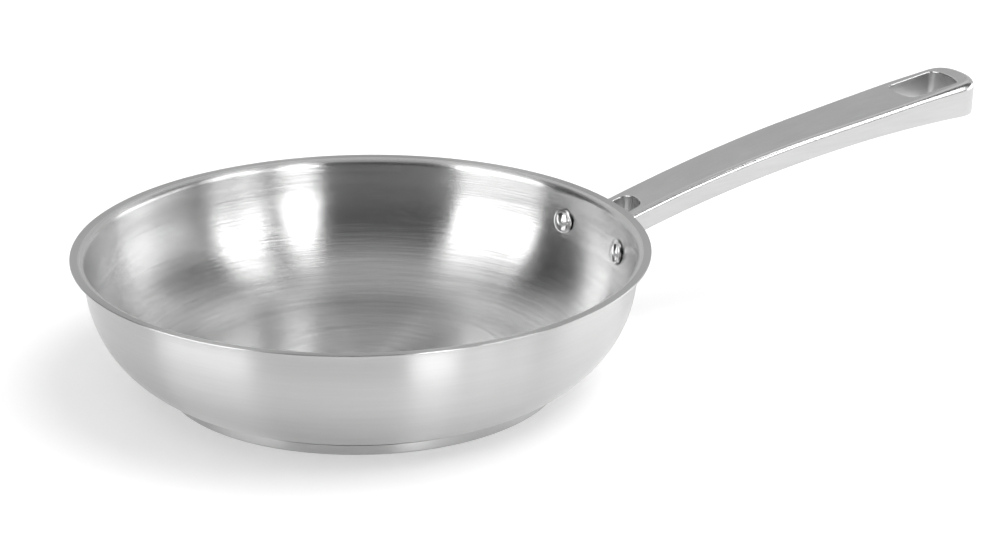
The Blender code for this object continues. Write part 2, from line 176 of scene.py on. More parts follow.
class StudioSettings(bpy.types.PropertyGroup):
    """Floor, sky, lamp and reflector cards."""

    floor: rgb("Floor", "Colour of the floor", (0.80, 0.80, 0.80))
    floor_size: metres("Floor Size", "From the pan to the floor's sides", 6.0)
    floor_lift: FloatProperty(
        name="Floor Lift", description="What keeps the floor white to the eye", default=0.32, min=0.0)
    sky_level: factor("Sky Level", "Strength of the sky where it is not seen directly", 0.7)
    lamp_power: FloatProperty(
        name="Lamp Power", description="Power of the overhead lamp", default=16.0, min=0.0, unit="POWER")
    lamp_size: metres("Lamp Size", "Width of the overhead lamp", 1.5)
    lamp_distance: metres("Lamp Distance", "From the pan to the lamp", 1.6)
    lamp_turn: degrees("Lamp Turn", "Turn of the lamp from the camera's right", 355.0)
    lamp_height: degrees("Lamp Height", "Angle of the lamp above the floor", 63.0)
    card_distance: metres("Card Distance", "From the pan to the cards around it", 2.2)


# Studio layout

WHITE = (1.0, 1.0, 1.0, 1.0)
BLACK = (0.0, 0.0, 0.0, 1.0)

# The camera's lens and sensor in millimetres, the nearest distance that it sees, its place, and the
# directions of its right side and of its view
CAMERA_LENS = 108.0
CAMERA_SENSOR = 36.0
CAMERA_NEAR = 0.05
CAMERA_PLACE = Vector((-0.520354, -1.044334, 0.485691))
CAMERA_RIGHT = Vector((0.872069, -0.489382, 0.0))
CAMERA_VIEW = Vector((0.457421, 0.815114, -0.355465))

# How far the camera's right is turned from X, and the largest facet of a card, in degrees
VIEW_TURN = 29.3
CARD_FACET = 7.5

# The cards and the dark flags around the pan: name, start and end of the turn from the camera's right,
# lowest and highest angle above the floor, and how light they look
STUDIO_CARDS = (
    ("left_box", 186.0, 228.0, 0.0, 16.0, 3.0),
    ("left_box_mid", 186.0, 229.0, 16.0, 34.0, 4.52),
    ("left_box_high_a", 167.0, 200.0, 34.0, 60.0, 0.72),
    ("left_box_high_b", 200.0, 226.0, 34.0, 60.0, 1.8),
    ("camera_flag", 229.0, 290.0, 0.0, 34.0, 0.0),
    ("camera_flag_high", 226.0, 300.0, 34.0, 60.0, 0.05),
    ("gap_flag", 290.0, 294.0, 16.0, 34.0, 0.0),
    ("right_box", 290.0, 310.0, 0.0, 16.0, 4.94),
    ("right_box_side", 310.0, 319.0, 0.0, 16.0, 1.59),
    ("right_box_mid", 294.0, 307.0, 16.0, 34.0, 6.2),
    ("right_box_high", 300.0, 316.0, 34.0, 60.0, 2.21),
    ("flag_mid", 307.0, 318.5, 16.0, 34.0, 0.13),
    ("flag_low", 319.0, 352.0, 0.0, 16.0, 0.4),
    ("second_a", 318.5, 330.0, 16.0, 34.0, 5.2),
    ("second_gap", 330.0, 335.0, 16.0, 34.0, 0.0),
    ("second_b", 335.0, 343.0, 16.0, 34.0, 4.4),
    ("flag_high", 316.0, 337.0, 34.0, 60.0, 0.0),
    ("second_high", 337.0, 350.0, 34.0, 60.0, 4.4),
    ("third_high", 350.0, 360.0, 34.0, 60.0, 0.0),
    ("grey_mid", 343.0, 360.0, 16.0, 34.0, 0.7),
    ("right_low_a", 352.0, 360.0, 0.0, 16.0, 2.3),
    ("right_low_b", 0.0, 37.0, 0.0, 16.0, 3.9),
    ("right_mid", 0.0, 35.0, 16.0, 34.0, 0.15),
    ("right_high", 0.0, 35.0, 34.0, 60.0, 0.13),
    ("back_low", 37.0, 140.0, 0.0, 34.0, 0.63),
    ("back_high", 35.0, 140.0, 34.0, 60.0, 0.77),
    ("left_flag", 140.0, 186.0, 0.0, 34.0, 0.06),
    ("left_flag_high", 140.0, 167.0, 34.0, 60.0, 0.0),
    ("ceiling", 0.0, 360.0, 60.0, 90.0, 0.6),
)


# Mesh tools


def add_object(name, data):
    item = bpy.data.objects.new(name, data)
    bpy.context.scene.collection.objects.link(item)
    return item


def remove_object(item):
    mesh = item.data
    bpy.data.objects.remove(item, do_unlink=True)
    bpy.data.meshes.remove(mesh)


def settle(item, name):
    """Replace an object by a plain mesh of its evaluated shape."""
    depsgraph = bpy.context.evaluated_depsgraph_get()
    mesh = bpy.data.meshes.new_from_object(item.evaluated_get(depsgraph), depsgraph=depsgraph)
    mesh.name = name
    remove_object(item)
    return add_object(name, mesh)


def sharpen(item):
    item.data.shade_smooth()
    item.data.set_sharp_from_angle(angle=math.radians(CRISP_ANGLE))


def boolean(item, operand, operation):
    """Apply one exact Boolean, and throw the operand away."""
    modifier = item.modifiers.new(operation.title(), "BOOLEAN")
    modifier.operation = operation
    modifier.solver = "EXACT"
    modifier.object = operand
    name = item.name
    item.name = name + "_blank"
    result = settle(item, name)
    remove_object(operand)
    return result


def clean_corners(item):
    """Remove corners where only two edges meet, because they leave folded slivers between triangles."""
    bm = bmesh.new()
    bm.from_mesh(item.data)
    corners = [corner for corner in bm.verts if len(corner.link_edges) == 2]
    bmesh.ops.dissolve_verts(bm, verts=corners)
    bm.to_mesh(item.data)
    bm.free()


def arc_steps(start, end, steps):
    return [start + (end - start) * i / steps for i in range(1, steps + 1)]


def quarter_turns(steps):
    return [0.5 * math.pi * i / steps for i in range(steps + 1)]


def rounded_corner(radius, height, rounding, steps):
    """Points (r, z) round the lower, outer edge of a turned piece, from its side to its underside."""
    return [
        (radius - rounding * (1.0 - math.cos(turn)), height + rounding * (1.0 - math.sin(turn)))
        for turn in quarter_turns(steps)
    ]


def smooth_step(value, start, end):
    share = min(max((value - start) / (end - start), 0.0), 1.0)
    return share * share * (3.0 - 2.0 * share)


# Bowl profile


def add_arc(path, radius, end, steps):
    """Run a path of (radius, height, slope) points on to a slope. A radius below zero bends it back."""
    r, z, start = path[-1]
    for slope in arc_steps(start, end, steps):
        path.append((
            r + radius * (math.sin(slope) - math.sin(start)),
            z + radius * (math.cos(start) - math.cos(slope)),
            slope,
        ))


def wall_arc_radius(bowl):
    """The radius that lets the wall's arc fill the height between the foot and the straight wall."""
    foot_rise = bowl.foot_radius * (1.0 - math.cos(bowl.foot_slope))
    bend_rise = bowl.lip_bend * (math.cos(bowl.lip_slope) - math.cos(bowl.wall_slope))
    lip_rise = bend_rise + bowl.lip_width * math.sin(bowl.lip_slope) + bowl.sheet * math.cos(bowl.lip_slope)
    straight_rise = bowl.wall_straight * math.sin(bowl.wall_slope)
    arc_rise = bowl.height - bowl.underside - foot_rise - straight_rise - lip_rise
    return arc_rise / (math.cos(bowl.foot_slope) - math.cos(bowl.wall_slope))


def wall_path(bowl):
    """The sheet's outer face as (radius, height, slope) points, from the flat floor to the lip's flat."""
    path = [(0.0, bowl.underside, 0.0)]
    add_arc(path, bowl.foot_radius, bowl.foot_slope, steps=14)
    add_arc(path, wall_arc_radius(bowl), bowl.wall_slope, steps=26)
    straight_steps = 4
    for _ in range(straight_steps):
        r, z, slope = path[-1]
        step = bowl.wall_straight / straight_steps
        path.append((r + step * math.cos(slope), z + step * math.sin(slope), slope))
    add_arc(path, -bowl.lip_bend, bowl.lip_slope, steps=14)
    floor_radius = bowl.rim_radius - path[-1][0] - bowl.lip_width * math.cos(bowl.lip_slope)
    return [(floor_radius + r, z, slope) for r, z, slope in path]


def offset_path(path, distance):
    """The path moved square to itself: inwards and up where the distance is above zero."""
    return [(r - distance * math.sin(slope), z + distance * math.cos(slope)) for r, z, slope in path]


def lip_edge(bowl, path):
    """Points around the trimmed, rounded edge of the lip, from its top to its underside."""
    r, z, slope = path[-1]
    points = []
    corners = ((bowl.sheet - bowl.lip_edge, 0.5 * math.pi, 0.0), (bowl.lip_edge, 0.0, -0.5 * math.pi))
    for height, start, end in corners:
        for turn in [start] + arc_steps(start, end, steps=5):
            along = bowl.lip_width - bowl.lip_edge * (1.0 - math.cos(turn))
            across = height + bowl.lip_edge * math.sin(turn)
            points.append((
                r + along * math.cos(slope) - across * math.sin(slope),
                z + along * math.sin(slope) + across * math.cos(slope),
            ))
    return points


def wall_at(path, depth, height):
    """Radius and slope where a face that lies a depth inside the wall's outer face crosses a height."""
    points = offset_path(path, depth)
    for i in range(len(points) - 1):
        (r0, z0), (r1, z1) = points[i:i + 2]
        if z0 <= height <= z1:
            share = (height - z0) / (z1 - z0)
            return r0 + share * (r1 - r0), path[i][2] + share * (path[i + 1][2] - path[i][2])
    raise ValueError("the wall does not reach this height")


def height_at(points, radius):
    for (r0, z0), (r1, z1) in zip(points, points[1:]):
        if r0 <= radius <= r1:
            return z0 + (radius - r0) / (r1 - r0) * (z1 - z0)
    return points[0][1]


def rings(radius, height, count):
    """Points on a flat disc, from the centre outwards, without its edge."""
    return [(radius * i / count, height) for i in range(count)]


# Node tools


def connect(tree, target, value):
    """Link a socket to another one, or set it to a plain value."""
    if isinstance(value, bpy.types.NodeSocket):
        tree.links.new(value, target)
    else:
        target.default_value = value


def add_node(tree, kind, sockets=None, **options):
    """Add a node, set its options, and link or fill its input sockets."""
    node = tree.nodes.new(kind)
    for option, value in options.items():
        setattr(node, option, value)
    for socket, value in (sockets or {}).items():
        connect(tree, node.inputs[socket], value)
    return node


def calculate(tree, operation, *values):
    return add_node(tree, "ShaderNodeMath", dict(enumerate(values)), operation=operation).outputs[0]


def product(tree, first, second):
    return calculate(tree, "MULTIPLY", first, second)


def ratio(tree, first, second):
    return calculate(tree, "DIVIDE", first, second)


def combine(tree, x, y, z):
    return add_node(tree, "ShaderNodeCombineXYZ", {"X": x, "Y": y, "Z": z}).outputs[0]


def new_tree(kind, name, inputs, outputs):
    """Start a node group, and return it with its sockets as they are seen from inside."""
    tree = bpy.data.node_groups.new(name, kind)
    for label, content, default in inputs:
        socket = tree.interface.new_socket(name=label, in_out="INPUT", socket_type="NodeSocket" + content)
        if default is not None:
            socket.default_value = default
    for label, content in outputs:
        tree.interface.new_socket(name=label, in_out="OUTPUT", socket_type="NodeSocket" + content)
    return tree, add_node(tree, "NodeGroupInput").outputs, add_node(tree, "NodeGroupOutput").inputs


def find_tree(name, make):
    """The node group of this name, which is made when it is first asked for."""
    return bpy.data.node_groups.get(name) or make()


# Turned pieces, made with Geometry Nodes

# Points of a turned piece that are nearer than this become one, which closes its seam and its poles
SEAM = 0.000001


def turned_tree():
    """Turns a profile of points around Z into a closed skin, with one material inside and one outside."""
    tree, inputs, outputs = new_tree(
        "GeometryNodeTree", "Turned Piece",
        (("Profile", "Geometry", None), ("Segments", "Int", 96), ("Inside Points", "Int", 0),
         ("Inside Material", "Material", None), ("Outside Material", "Material", None)),
        (("Geometry", "Geometry"),))

    size = add_node(tree, "GeometryNodeAttributeDomainSize", {"Geometry": inputs["Profile"]})
    columns = calculate(tree, "ADD", inputs["Segments"], 1.0)
    grid = add_node(tree, "GeometryNodeMeshGrid", {
        "Vertices X": size.outputs["Point Count"],
        "Vertices Y": columns,
    })

    index = add_node(tree, "GeometryNodeInputIndex").outputs[0]
    row = calculate(tree, "FLOOR", ratio(tree, calculate(tree, "ADD", index, 0.5), columns))
    column = calculate(tree, "SUBTRACT", index, product(tree, row, columns))
    turn = ratio(tree, product(tree, column, math.tau), inputs["Segments"])
    cosine = calculate(tree, "COSINE", turn)
    sine = calculate(tree, "SINE", turn)
    sample = add_node(tree, "GeometryNodeSampleIndex", {
        "Geometry": inputs["Profile"],
        "Value": add_node(tree, "GeometryNodeInputPosition").outputs[0],
        "Index": row,
    }, data_type="FLOAT_VECTOR")
    radius, _, height = add_node(tree, "ShaderNodeSeparateXYZ", {"Vector": sample.outputs[0]}).outputs
    position = add_node(tree, "GeometryNodeSetPosition", {
        "Geometry": grid.outputs["Mesh"],
        "Position": combine(tree, product(tree, radius, cosine), product(tree, radius, sine), height),
    })

    inside_faces = product(tree, inputs["Inside Points"], inputs["Segments"])
    face_index = add_node(tree, "GeometryNodeInputIndex").outputs[0]
    outer = add_node(tree, "GeometryNodeSetMaterial", {
        "Geometry": position.outputs["Geometry"],
        "Material": inputs["Outside Material"],
    })
    inner = add_node(tree, "GeometryNodeSetMaterial", {
        "Geometry": outer.outputs["Geometry"],
        "Selection": calculate(tree, "LESS_THAN", face_index, inside_faces),
        "Material": inputs["Inside Material"],
    })
    weld = add_node(tree, "GeometryNodeMergeByDistance", {
        "Geometry": inner.outputs["Geometry"],
        "Distance": SEAM,
    })
    connect(tree, outputs["Geometry"], weld.outputs["Geometry"])
    return tree


def rivet_tree():
    """Turns one rivet and sets it twice through the wall, mirrored about the handle's plane."""
    tree, inputs, outputs = new_tree(
        "GeometryNodeTree", "Rivet Pair",
        (("Profile", "Geometry", None), ("Segments", "Int", 48), ("Seat Radius", "Float", 0.1),
         ("Seat Height", "Float", 0.04), ("Seat Turn", "Float", 0.2), ("Wall Slope", "Float", 1.3),
         ("Material", "Material", None)),
        (("Geometry", "Geometry"),))

    index = add_node(tree, "GeometryNodeInputIndex").outputs[0]
    side = calculate(tree, "SUBTRACT", product(tree, index, 2.0), 1.0)
    turn = product(tree, side, inputs["Seat Turn"])
    cosine = calculate(tree, "COSINE", turn)
    sine = calculate(tree, "SINE", turn)

    def turned_out(level, height):
        return combine(tree, product(tree, level, cosine), product(tree, level, sine), height)

    down = product(tree, calculate(tree, "COSINE", inputs["Wall Slope"]), -1.0)
    outwards = turned_out(calculate(tree, "SINE", inputs["Wall Slope"]), down)
    seats = add_node(tree, "GeometryNodePoints", {
        "Count": 2,
        "Position": turned_out(inputs["Seat Radius"], inputs["Seat Height"]),
    })
    turned = add_node(tree, "GeometryNodeGroup", {
        "Profile": inputs["Profile"],
        "Segments": inputs["Segments"],
    }, node_tree=find_tree("Turned Piece", turned_tree))
    aim = add_node(tree, "FunctionNodeAlignRotationToVector", {"Vector": outwards}, axis="Z")
    spread = add_node(tree, "GeometryNodeInstanceOnPoints", {
        "Points": seats.outputs[0],
        "Instance": turned.outputs[0],
        "Rotation": aim.outputs[0],
    })
    realize = add_node(tree, "GeometryNodeRealizeInstances", {"Geometry": spread.outputs[0]})
    finish = add_node(tree, "GeometryNodeSetMaterial", {
        "Geometry": realize.outputs[0],
        "Material": inputs["Material"],
    })
    connect(tree, outputs["Geometry"], finish.outputs["Geometry"])
    return tree


def run_tree(name, profile, tree, values):
    """Run a tree on a profile of (r, z) points, and return the result as a plain mesh object."""
    mesh = bpy.data.meshes.new(name + "_profile")
    mesh.from_pydata([(r, 0.0, z) for r, z in profile], [], [])
    item = add_object(name + "_profile", mesh)
    modifier = item.modifiers.new(tree.name, "NODES")
    modifier.node_group = tree
    for socket in tree.interface.items_tree:
        if socket.item_type == "SOCKET" and socket.name in values:
            modifier[socket.identifier] = values[socket.name]
    result = settle(item, name)
    bm = bmesh.new()
    bm.from_mesh(result.data)
    bmesh.ops.recalc_face_normals(bm, faces=bm.faces)
    bm.to_mesh(result.data)
    bm.free()
    sharpen(result)
    return result


def turned_piece(name, profile, segments, outside, inside=None, inside_points=0):
    tree = find_tree("Turned Piece", turned_tree)
    return run_tree(name, profile, tree, {
        "Segments": segments,
        "Inside Points": inside_points,
        "Inside Material": inside or outside,
        "Outside Material": outside,
    })


# Materials

GRAIN_OUTPUTS = (("Height", "Float"), ("Shade", "Float"))

# Shares of fine lines and broader bands in the relief, and of these and the slow drift in the shade
RELIEF_SHARES = (0.6, 0.4)
SHADE_SHARES = (0.35, 0.35, 0.3)

# Nearer to the axis than this, the marks around it stop getting shorter
PIVOT_RADIUS = 0.0001

# Turns the stretch of a highlight square to the marks around the axis
QUARTER_TURN = 0.25


def place_on_piece(tree):
    coordinate = add_node(tree, "ShaderNodeTexCoord").outputs["Object"]
    return add_node(tree, "ShaderNodeSeparateXYZ", {"Vector": coordinate}).outputs


def noise(tree, vector, detail, roughness):
    sockets = {"Vector": vector, "Scale": 1.0, "Detail": detail, "Roughness": roughness}
    return add_node(tree, "ShaderNodeTexNoise", sockets).outputs["Fac"]


def blend_of(tree, values, weights):
    total = 0.0
    for value, weight in zip(values, weights):
        total = calculate(tree, "MULTIPLY_ADD", value, weight, total)
    return total


def brush_marks(tree, outputs, fine, broad, slow):
    """Blend fine lines, broader bands and a slow drift along them into a relief and a shade."""
    fine = noise(tree, fine, detail=2.0, roughness=0.6)
    broad = noise(tree, broad, detail=2.0, roughness=0.5)
    slow = noise(tree, slow, detail=1.0, roughness=0.5)
    connect(tree, outputs["Height"], blend_of(tree, (fine, broad), RELIEF_SHARES))
    connect(tree, outputs["Shade"], blend_of(tree, (fine, broad, slow), SHADE_SHARES))


def turned_grain():
    """Brush marks that run around Z: lines of a set width, a set number of them in each turn."""
    tree, inputs, outputs = new_tree(
        "ShaderNodeTree", "Turned Grain",
        (("Line Width", "Float", 0.0004), ("Lines per Turn", "Float", 14.0)), GRAIN_OUTPUTS)
    x, y, z = place_on_piece(tree)
    squares = calculate(tree, "MULTIPLY_ADD", x, x, product(tree, y, y))
    radius = calculate(tree, "MAXIMUM", calculate(tree, "SQRT", squares), PIVOT_RADIUS)
    across = ratio(tree, calculate(tree, "ADD", radius, z), inputs["Line Width"])
    around_x = ratio(tree, x, radius)
    around_y = ratio(tree, y, radius)

    def layer(turns, width):
        length = product(tree, inputs["Lines per Turn"], turns)
        return combine(
            tree, product(tree, around_x, length), product(tree, around_y, length),
            ratio(tree, across, width))

    fine = layer(turns=1.0, width=1.0)
    broad = layer(turns=0.35, width=4.5)
    slow = layer(turns=0.12, width=30.0)
    brush_marks(tree, outputs, fine, broad, slow)
    return tree


def straight_grain():
    """Brush marks that run along X, of a set width and length."""
    tree, inputs, outputs = new_tree(
        "ShaderNodeTree", "Straight Grain",
        (("Line Width", "Float", 0.0003), ("Line Length", "Float", 0.012)), GRAIN_OUTPUTS)
    x, y, z = place_on_piece(tree)
    along = ratio(tree, x, inputs["Line Length"])
    across_y = ratio(tree, y, inputs["Line Width"])
    across_z = ratio(tree, z, inputs["Line Width"])

    def layer(length, width):
        return combine(
            tree, ratio(tree, along, length), ratio(tree, across_y, width), ratio(tree, across_z, width))

    fine = layer(length=1.0, width=1.0)
    broad = layer(length=3.0, width=5.0)
    slow = layer(length=2.5, width=25.0)
    brush_marks(tree, outputs, fine, broad, slow)
    return tree


def tinted(tree, colour, drift, depth):
    """A colour that a drift around zero makes a little lighter and darker."""
    level = calculate(tree, "MULTIPLY_ADD", drift, depth, 1.0)
    mix = add_node(tree, "ShaderNodeMix", data_type="RGBA", blend_type="MULTIPLY")
    mix.inputs["Factor"].default_value = 1.0
    plain, tint = [socket for socket in mix.inputs if socket.type == "RGBA"]
    plain.default_value = (*colour, 1.0)
    connect(tree, tint, combine(tree, level, level, level))
    return next(socket for socket in mix.outputs if socket.type == "RGBA")


def brushed_metal(name, colour, roughness, grain, marks, tone, spread, stretch=0.0, relief=0.0, depth=0.0):
    """Metal with brush marks in its colour and its roughness.

    A stretch draws its highlights out around Z, and a relief gives the marks a depth.
    """
    material = bpy.data.materials.new(name)
    material.use_nodes = True
    tree = material.node_tree
    shader = tree.nodes["Principled BSDF"].inputs
    brushing = add_node(tree, "ShaderNodeGroup", marks, node_tree=grain).outputs
    drift = calculate(tree, "SUBTRACT", brushing["Shade"], 0.5)
    connect(tree, shader["Base Color"], tinted(tree, colour, drift, tone))
    connect(tree, shader["Roughness"], calculate(tree, "MULTIPLY_ADD", drift, spread, roughness))
    shader["Metallic"].default_value = 1.0
    if stretch:
        shader["Anisotropic"].default_value = stretch
        shader["Anisotropic Rotation"].default_value = QUARTER_TURN
        tangent = add_node(tree, "ShaderNodeTangent", direction_type="RADIAL", axis="Z")
        connect(tree, shader["Tangent"], tangent.outputs[0])
    if relief:
        bump = add_node(tree, "ShaderNodeBump", {
            "Strength": relief,
            "Distance": depth,
            "Height": brushing["Height"],
        })
        connect(tree, shader["Normal"], bump.outputs[0])
    return material


def turned_shaded_satin(name, finish, stretch):
    """The satin finish of the bowl's outside and the base, in a colour darkened by painted shade."""
    return brushed_metal(
        name, finish.satin, finish.outside_roughness, find_tree("Turned Grain", turned_grain),
        {"Line Width": 0.0006, "Lines per Turn": 5.0},
        tone=0.25, spread=0.06, stretch=stretch, relief=0.12, depth=finish.grain_depth)


# Handle shape

# Lengths of the rounded ends of the tip, the slot, the hanging hole and the hollow underneath
TIP_ROUND = 0.012
VENT_ROUND = 0.0055
HOLE_ROUND = 0.0040
CHANNEL_ROUND = 0.010

# How full those ends are: 2 is an ellipse, and more comes closer to a rectangle
END_FULLNESS = 2.5

# Metal left from the hole to the tip, from the hollow to the hole, and beside and above the hollow
TIP_MARGIN = 0.0092
HOLE_MARGIN = 0.0085
CHANNEL_WALL = 0.0028
CHANNEL_TOP = 0.0032

# Where the hollow starts outside the rim, and the rounding of its ceiling
CHANNEL_START = 0.022
CHANNEL_EDGE = 0.0020

# How far the tip's larger rounding runs back, and how much narrower the handle is at its lower edge
TIP_EDGE_REACH = 0.036
DRAFT = 0.0004

# How far a face of the polished edge, with its painted highlight, looks up: less is part of the side, and
# more is part of the flat top
EDGE_UPRIGHT = (0.15, 0.985)


class HandleShape:
    """The handle's curves as functions of x."""

    def __init__(self, bowl, handle):
        self.bowl = bowl
        self.handle = handle
        self.tip = bowl.rim_radius + handle.length
        wall_top = next(r for r, _, slope in wall_path(bowl)[::-1] if slope == bowl.wall_slope)
        self.face = wall_top + GAP + handle.flange
        self.start = wall_top - 3.0 * OVERSHOOT
        self.hole_end = self.tip - TIP_MARGIN

    def top(self, x):
        handle = self.handle
        along = x - self.bowl.rim_radius
        bend_rise = handle.neck_curve_end ** 2 / (2.0 * handle.neck_curve)
        line = self.bowl.height - handle.drop + bend_rise + math.tan(handle.slope) * along
        return line - max(handle.neck_curve_end - along, 0.0) ** 2 / (2.0 * handle.neck_curve)

    def bottom(self, x):
        handle = self.handle
        belly = max(x - self.bowl.rim_radius - handle.belly_start, 0.0) ** 2 / (2.0 * handle.belly_curve)
        return self.top(x) - handle.depth - belly - self.swell(x)

    def half_width(self, x):
        handle = self.handle
        widening = smooth_step(x - self.bowl.rim_radius, handle.widening_start, handle.widening_end)
        width = handle.neck_width + (handle.grip_width - handle.neck_width) * widening
        return 0.5 * width + self.swell(x)

    def swell(self, x):
        reach = self.handle.swell_reach
        return self.handle.swell * (1.0 - smooth_step(x, self.face - reach, self.face + reach))

    def edge(self, x):
        handle = self.handle
        near_tip = smooth_step(x, self.tip - TIP_EDGE_REACH, self.tip)
        return handle.top_edge + (handle.tip_edge - handle.top_edge) * near_tip


def rounded_end(start, length, half_width, steps):
    """Points of a full, rounded end as (x, y), from the straight side to the middle of the end."""
    points = []
    for turn in quarter_turns(steps)[1:]:
        along = start + length * math.sin(turn) ** (2.0 / END_FULLNESS)
        points.append((along, half_width * math.cos(turn) ** (2.0 / END_FULLNESS)))
    points[-1] = (points[-1][0], 0.0)
    return points


def constant(value):
    return lambda x: value


def level_place(x, y, height):
    return (x, y, height)


def stacked_body(name, half_outline, levels, place=level_place):
    """A closed body, symmetric about y = 0, stacked from inset copies of one outline.

    Each level is a pair of functions of x: how far the outline is inset there, and how high it lies.
    """
    normals = []
    for i in range(len(half_outline)):
        x0, y0 = half_outline[max(i - 1, 0)]
        x1, y1 = half_outline[min(i + 1, len(half_outline) - 1)]
        run = math.hypot(x1 - x0, y1 - y0)
        normals.append(((y0 - y1) / run, (x1 - x0) / run))
    if half_outline[0][1] == 0.0:
        normals[0] = (-1.0, 0.0)
    if half_outline[-1][1] == 0.0:
        normals[-1] = (1.0, 0.0)

    bm = bmesh.new()
    stack = []
    for inset, height in levels:
        plus = []
        minus = []
        for (x, y), (nx, ny) in zip(half_outline, normals):
            px = x - inset(x) * nx
            py = y - inset(x) * ny if y else 0.0
            plus.append(bm.verts.new(place(px, py, height(px))))
            minus.append(bm.verts.new(place(px, -py, height(px))) if y else plus[-1])
        stack.append((plus, minus))
    for plus, minus in (stack[0], stack[-1]):
        for i in range(len(plus) - 1):
            corners = dict.fromkeys((plus[i], plus[i + 1], minus[i + 1], minus[i]))
            bm.faces.new(corners)
    for low, high in zip(stack, stack[1:]):
        low_loop = list(dict.fromkeys(low[0] + low[1][::-1]))
        high_loop = list(dict.fromkeys(high[0] + high[1][::-1]))
        for i in range(len(low_loop)):
            j = (i + 1) % len(low_loop)
            bm.faces.new((low_loop[i], low_loop[j], high_loop[j], high_loop[i]))
    bmesh.ops.recalc_face_normals(bm, faces=bm.faces)
    mesh = bpy.data.meshes.new(name)
    bm.to_mesh(mesh)
    bm.free()
    return add_object(name, mesh)


def edge_levels(radius, height, steps, upper, draft=0.0):
    """Levels that round an edge: from the side to the face above, or from the face below to the side."""
    sign = 1.0 if upper else -1.0
    turns = quarter_turns(steps)
    if not upper:
        turns.reverse()
    levels = []
    for turn in turns:
        inset = lambda x, turn=turn: radius(x) * (1.0 - math.cos(turn)) + draft
        level = lambda x, turn=turn: height(x) - sign * radius(x) * (1.0 - math.sin(turn))
        levels.append((inset, level))
    return levels


def through_cutter(name, shape, outline):
    """Cuts down through the handle, and rounds the edge where it meets the top face."""
    edge = shape.handle.edge_break
    low = min(shape.bottom(x) for x, _ in outline) - OVERSHOOT
    high = max(shape.top(x) for x, _ in outline) + OVERSHOOT
    levels = [(constant(0.0), constant(low))]
    for turn in quarter_turns(steps=4):
        inset = constant(-edge * (1.0 - math.cos(turn)))
        level = lambda x, turn=turn: shape.top(x) - edge * (1.0 - math.sin(turn))
        levels.append((inset, level))
    levels.append((constant(-edge), constant(high)))
    return stacked_body(name, outline, levels)


def rivet_place(bowl, rivet):
    """Radius, height, turn and wall slope where the rivets' axes meet the wall's inner face."""
    height = bowl.height - rivet.drop
    radius, slope = wall_at(wall_path(bowl), bowl.sheet, height)
    return radius, height, math.asin(0.5 * rivet.spacing / radius), slope


def rivet_matrix(place, side):
    """Places +Z along a rivet's axis, outwards, with the origin on the wall's inner face."""
    radius, height, turn, slope = place
    turn *= side
    level = math.sin(slope)
    outwards = Vector((level * math.cos(turn), level * math.sin(turn), -math.cos(slope)))
    seat = Vector((radius * math.cos(turn), radius * math.sin(turn), height))
    return Matrix.Translation(seat) @ outwards.to_track_quat("Z", "Y").to_matrix().to_4x4()


def drill_for_rivets(item, bowl, handle, rivet):
    """Bore a round hole for each rivet, through the wall and the flange."""
    place = rivet_place(bowl, rivet)
    radius = rivet.shank_radius + GAP
    low = -OVERSHOOT
    high = bowl.sheet + handle.flange + OVERSHOOT
    for side in (1, -1):
        bm = bmesh.new()
        bmesh.ops.create_cone(
            bm, cap_ends=True, segments=48, radius1=radius, radius2=radius, depth=high - low)
        bmesh.ops.translate(bm, verts=bm.verts, vec=(0.0, 0.0, 0.5 * (low + high)))
        bmesh.ops.transform(bm, matrix=rivet_matrix(place, side), verts=bm.verts)
        mesh = bpy.data.meshes.new("rivet_hole")
        bm.to_mesh(mesh)
        bm.free()
        item = boolean(item, add_object("rivet_hole", mesh), "DIFFERENCE")
    return item


def wall_plug(bowl):
    """Everything inside the wall's outer face, and the gap around it."""
    path = wall_path(bowl)
    top = max(i for i, point in enumerate(path) if point[2] == bowl.wall_slope)
    face = offset_path(path, -GAP)[:top + 1]
    profile = [(0.0, face[0][1])] + face + [(0.0, face[-1][1])]
    return turned_piece("wall", profile, bowl.segments, None)


def handle_blank(shape):
    """The handle before anything is joined to it or cut out of it."""
    side_end = shape.tip - TIP_ROUND
    swell_start = shape.face - shape.handle.swell_reach
    swell_end = shape.face + shape.handle.swell_reach
    stations = [shape.start, swell_start] + arc_steps(swell_start, swell_end, steps=12)
    stations += arc_steps(swell_end, side_end, steps=90)
    outline = [(x, shape.half_width(x)) for x in stations]
    outline += rounded_end(side_end, TIP_ROUND, shape.half_width(side_end), steps=26)
    lower_edge = constant(shape.handle.bottom_edge)
    levels = edge_levels(lower_edge, shape.bottom, steps=4, upper=False, draft=DRAFT)
    levels += edge_levels(shape.edge, shape.top, steps=10, upper=True)
    return stacked_body("handle", outline, levels)


def flange_body(shape, rivet):
    """A long pad, bent to the wall, with round ends around the rivets and a rounded outer edge."""
    bowl = shape.bowl
    handle = shape.handle
    path = wall_path(bowl)
    radius, middle, seat_turn, slope = rivet_place(bowl, rivet)
    reach = radius * seat_turn
    ear = handle.ear_radius
    far_end = []
    for turn in arc_steps(0.5 * math.pi, 0.0, steps=12):
        far_end.append((reach + ear * math.cos(turn), ear * math.sin(turn) if turn else 0.0))
    outline = [(-along, up) for along, up in reversed(far_end)]
    outline += [(along, ear) for along in [-reach] + arc_steps(-reach, reach, steps=16)]
    outline += far_end

    def bent(along, up, out):
        height = middle + up * math.sin(slope)
        wall, tilt = wall_at(path, 0.0, height)
        wall += out * math.sin(tilt)
        turn = along / radius
        return (wall * math.cos(turn), wall * math.sin(turn), height - out * math.cos(tilt))

    face = constant(GAP + handle.flange)
    levels = [(constant(0.0), constant(-bowl.sheet))]
    levels += edge_levels(constant(handle.flange_edge), face, steps=5, upper=True)
    for inset in arc_steps(handle.flange_edge, ear - handle.flange_edge, steps=6):
        levels.append((constant(inset), face))
    return stacked_body("flange", outline, levels, bent)


